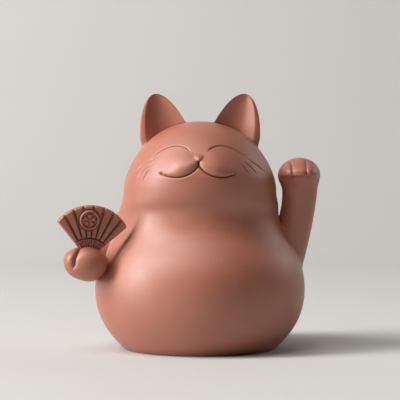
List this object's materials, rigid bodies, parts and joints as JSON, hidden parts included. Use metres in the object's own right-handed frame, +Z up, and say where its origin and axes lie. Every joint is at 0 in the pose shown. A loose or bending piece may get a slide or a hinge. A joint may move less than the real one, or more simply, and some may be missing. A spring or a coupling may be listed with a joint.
{
  "type": "beckoning cat tea pet",
  "caption": "Hollow unglazed clay cat figure with a raised paw and a folding fan, closed smiling eyes and a flat base, set on a tea tray and bathed in tea.",
  "frame": {"origin": "middle of the base, on the surface that the figure stands on", "axes": "+Z up, the cat looks along -Y, +X is the cat's own left, where the raised paw is"},
  "size_m": [0.0905, 0.0734, 0.0897],
  "materials": {
    "clay": "unglazed red-brown clay, burnished to a soft sheen",
    "base_clay": "unglazed red-brown clay, scraped and left matt",
    "fan_clay": "unglazed red-brown clay, pressed in a mould"
  },
  "bodies": {
    "root": {"front_shell": "clay", "back_shell": "clay", "base_slab": "base_clay", "seam_coil": "base_clay", "right_ear": "clay", "left_ear": "clay", "nose": "clay", "raised_arm": "clay", "fan_arm": "clay", "fan": "fan_clay", "fan_medallion": "fan_clay", "tail": "clay"}
  },
  "joints": []
}
